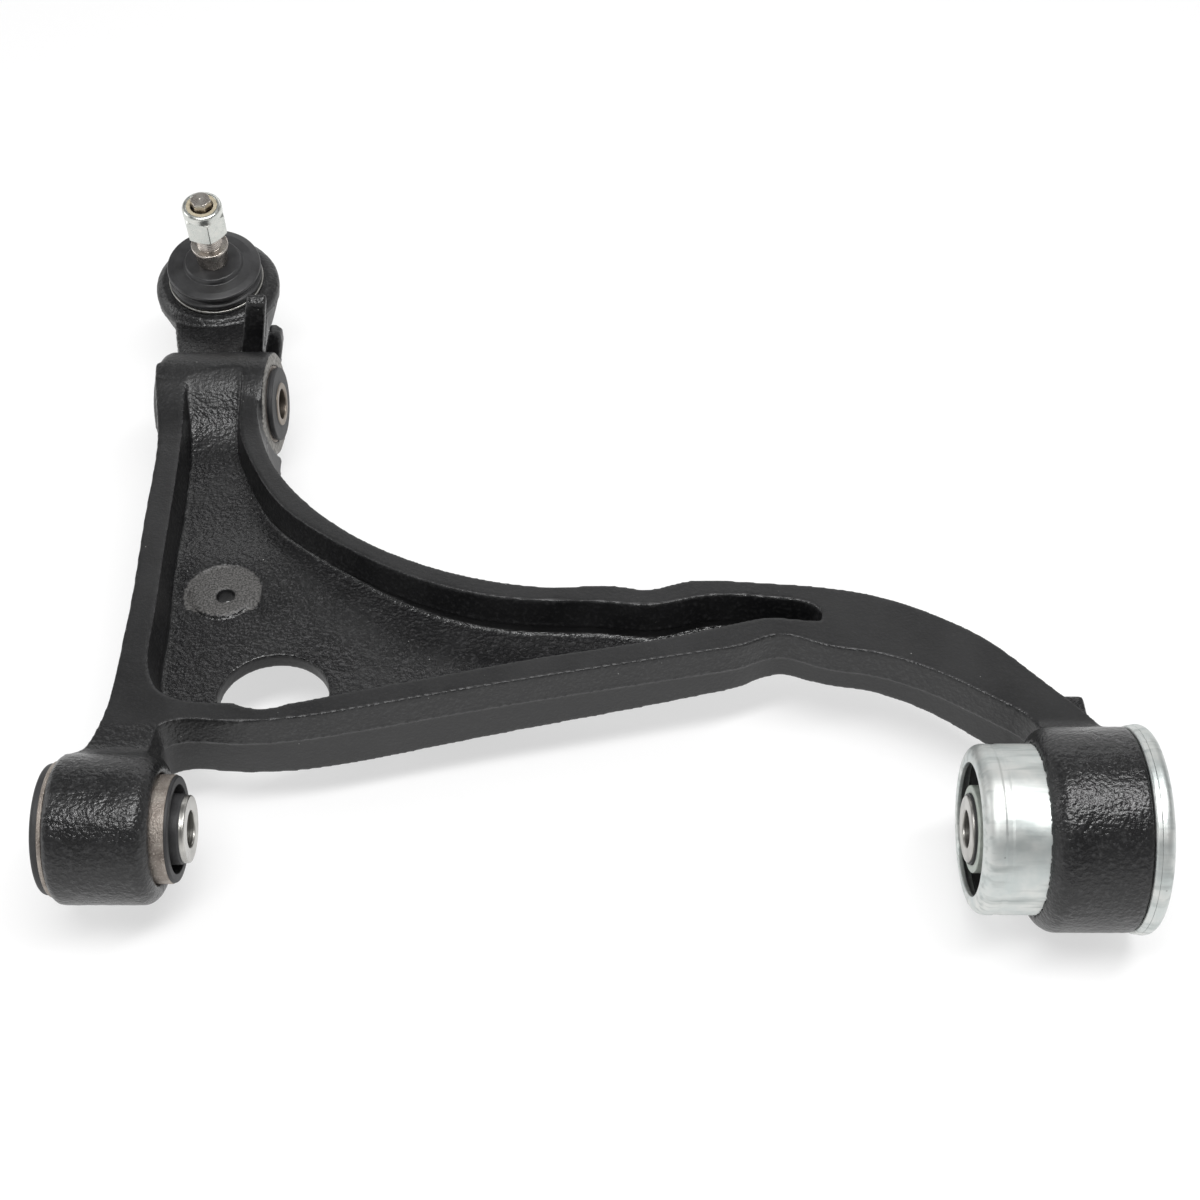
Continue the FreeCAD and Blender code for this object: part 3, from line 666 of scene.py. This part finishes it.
def build_can(zinc):
    """The rear bush's plated can and the bead at its end."""
    can = lathe(rounded(CAN, 8), segments=200)
    add_object("rear_can_drawn", can, "arm", zinc, "zinc", "rear_bush_outer_can")
    ring = lathe(rounded(END_RING, 8), segments=200)
    add_object("rear_end_bead", ring, "arm", zinc, "zinc", "rear_bush_end_ring")


# ---------------------------------------------------------------- stage, lights and camera
def build_stage():
    """The pale floor just under the part, bright enough to read as white."""
    floor_height = cad_box[0][2] - 0.0008
    bpy.ops.mesh.primitive_plane_add(size=14, location=(0.2, 0.2, floor_height))
    floor = bpy.context.object
    floor.name = "floor"
    shader = Shader("pale_floor", (0.38, 0.38, 0.38), roughness=0.8)
    shader.main.inputs["Emission Color"].default_value = (1, 1, 1, 1)
    shader.main.inputs["Emission Strength"].default_value = 0.6
    shader.rough(shader.ramp(shader.noise(3), 0.3, 0.7, 0.65, 0.75))
    floor.data.materials.append(shader.material)


def add_softbox(name, size, location, target, power):
    """A rectangular area light aimed at a point."""
    light = bpy.data.lights.new(name, "AREA")
    light.shape = "RECTANGLE"
    light.size, light.size_y = size
    light.energy = power
    lamp = bpy.data.objects.new(name, light)
    lamp.location = location
    lamp.rotation_euler = (Vector(target) - Vector(location)).to_track_quat("-Z", "Y").to_euler()
    bpy.context.scene.collection.objects.link(lamp)


def build_world():
    """White surroundings, dimmer in a belt half way up, as between two studio lights."""
    world = bpy.data.worlds.new("studio")
    world.use_nodes = True
    tree = world.node_tree
    split = tree.nodes.new("ShaderNodeSeparateXYZ")
    tree.links.new(tree.nodes.new("ShaderNodeTexCoord").outputs["Generated"], split.inputs[0])
    ramp = tree.nodes.new("ShaderNodeValToRGB")
    ramp.color_ramp.interpolation = "EASE"
    stops = ((0.0, 0.85), (0.3, 0.5), (0.62, 0.16), (0.86, 0.2), (0.97, 0.8))
    for i, (height, level) in enumerate(stops):
        element = ramp.color_ramp.elements[i] if i < 2 else ramp.color_ramp.elements.new(height)
        element.position = height
        element.color = (level, level, level, 1)
    tree.links.new(split.outputs["Z"], ramp.inputs["Fac"])
    tree.links.new(ramp.outputs["Color"], tree.nodes["Background"].inputs["Color"])
    bpy.context.scene.world = world


def build_lights():
    """A long narrow softbox overhead, and weak ones behind and to the left."""
    add_softbox("overhead", (1.7, 0.34), (0.38, -0.26, 1.6), (0.2, 0.1, 0), 26)
    add_softbox("back", (1.6, 0.35), (0.3, 1.5, 0.9), (0.2, 0.1, 0), 3.5)
    add_softbox("left", (0.6, 1.2), (-1.5, 0.3, 0.9), (0.2, 0.2, 0), 6)
    bpy.context.scene.view_settings.view_transform = "Standard"


def build_camera():
    """The camera stands in front of the pivot axis and looks down at 45 degrees."""
    camera = bpy.data.cameras.new("camera")
    camera.lens = 55.2
    camera.sensor_width = 36
    holder = bpy.data.objects.new("camera", camera)
    holder.location = (0.2105, -0.4953, 0.6361)
    holder.rotation_euler = (math.radians(45), 0, 0)
    bpy.context.scene.collection.objects.link(holder)
    bpy.context.scene.camera = holder


def dress_nodes():
    """Gives every CAD node that stays visible its finish."""
    bright = steel_material("bright_steel", (0.56, 0.55, 0.52), 0.33)
    dull = steel_material("dull_steel", (0.30, 0.26, 0.22), 0.42)
    raw = raw_steel_material()
    zinc = zinc_material()
    rubber = rubber_material("bush_rubber", (0.018, 0.018, 0.019), 0.55, 0.08)
    finishes = {
        "front_bush_outer_sleeve": raw, "front_bush_rubber": rubber,
        "front_bush_inner_sleeve": bright, "rear_bush_rubber": rubber,
        "rear_bush_channel_ring": plastic_material("channel_nylon", (0.04, 0.04, 0.042), 0.5),
        "rear_bush_core": alloy_material(), "rear_bush_inner_sleeve": bright,
        "rear_bush_sleeve_skin": rubber, "strut_bush_outer_sleeve": raw,
        "strut_bush_rubber": rubber, "strut_bush_inner_sleeve": dull,
        "ball_bearing_shell": plastic_material("seat_acetal", (0.75, 0.73, 0.66), 0.35),
        "ball_preload_ring": plastic_material("ring_acetal", (0.70, 0.68, 0.60), 0.4),
        "ball_cover_plate": zinc, "boot_clamp_ring": bright, "boot_lip_ring": bright,
        "nut_lock_insert": plastic_material("lock_nylon", (0.50, 0.44, 0.32), 0.4),
    }
    for name, material in finishes.items():
        NODES[name].data.materials.clear()
        NODES[name].data.materials.append(material)
    build_can(zinc)
    build_stud(stud_material(), nut_material())


build_camera()
build_stage()
build_world()
build_lights()
dress_nodes()
build_casting(casting_material())
build_boot(rubber_material("boot_rubber", (0.02, 0.02, 0.021), 0.34, 0.03))
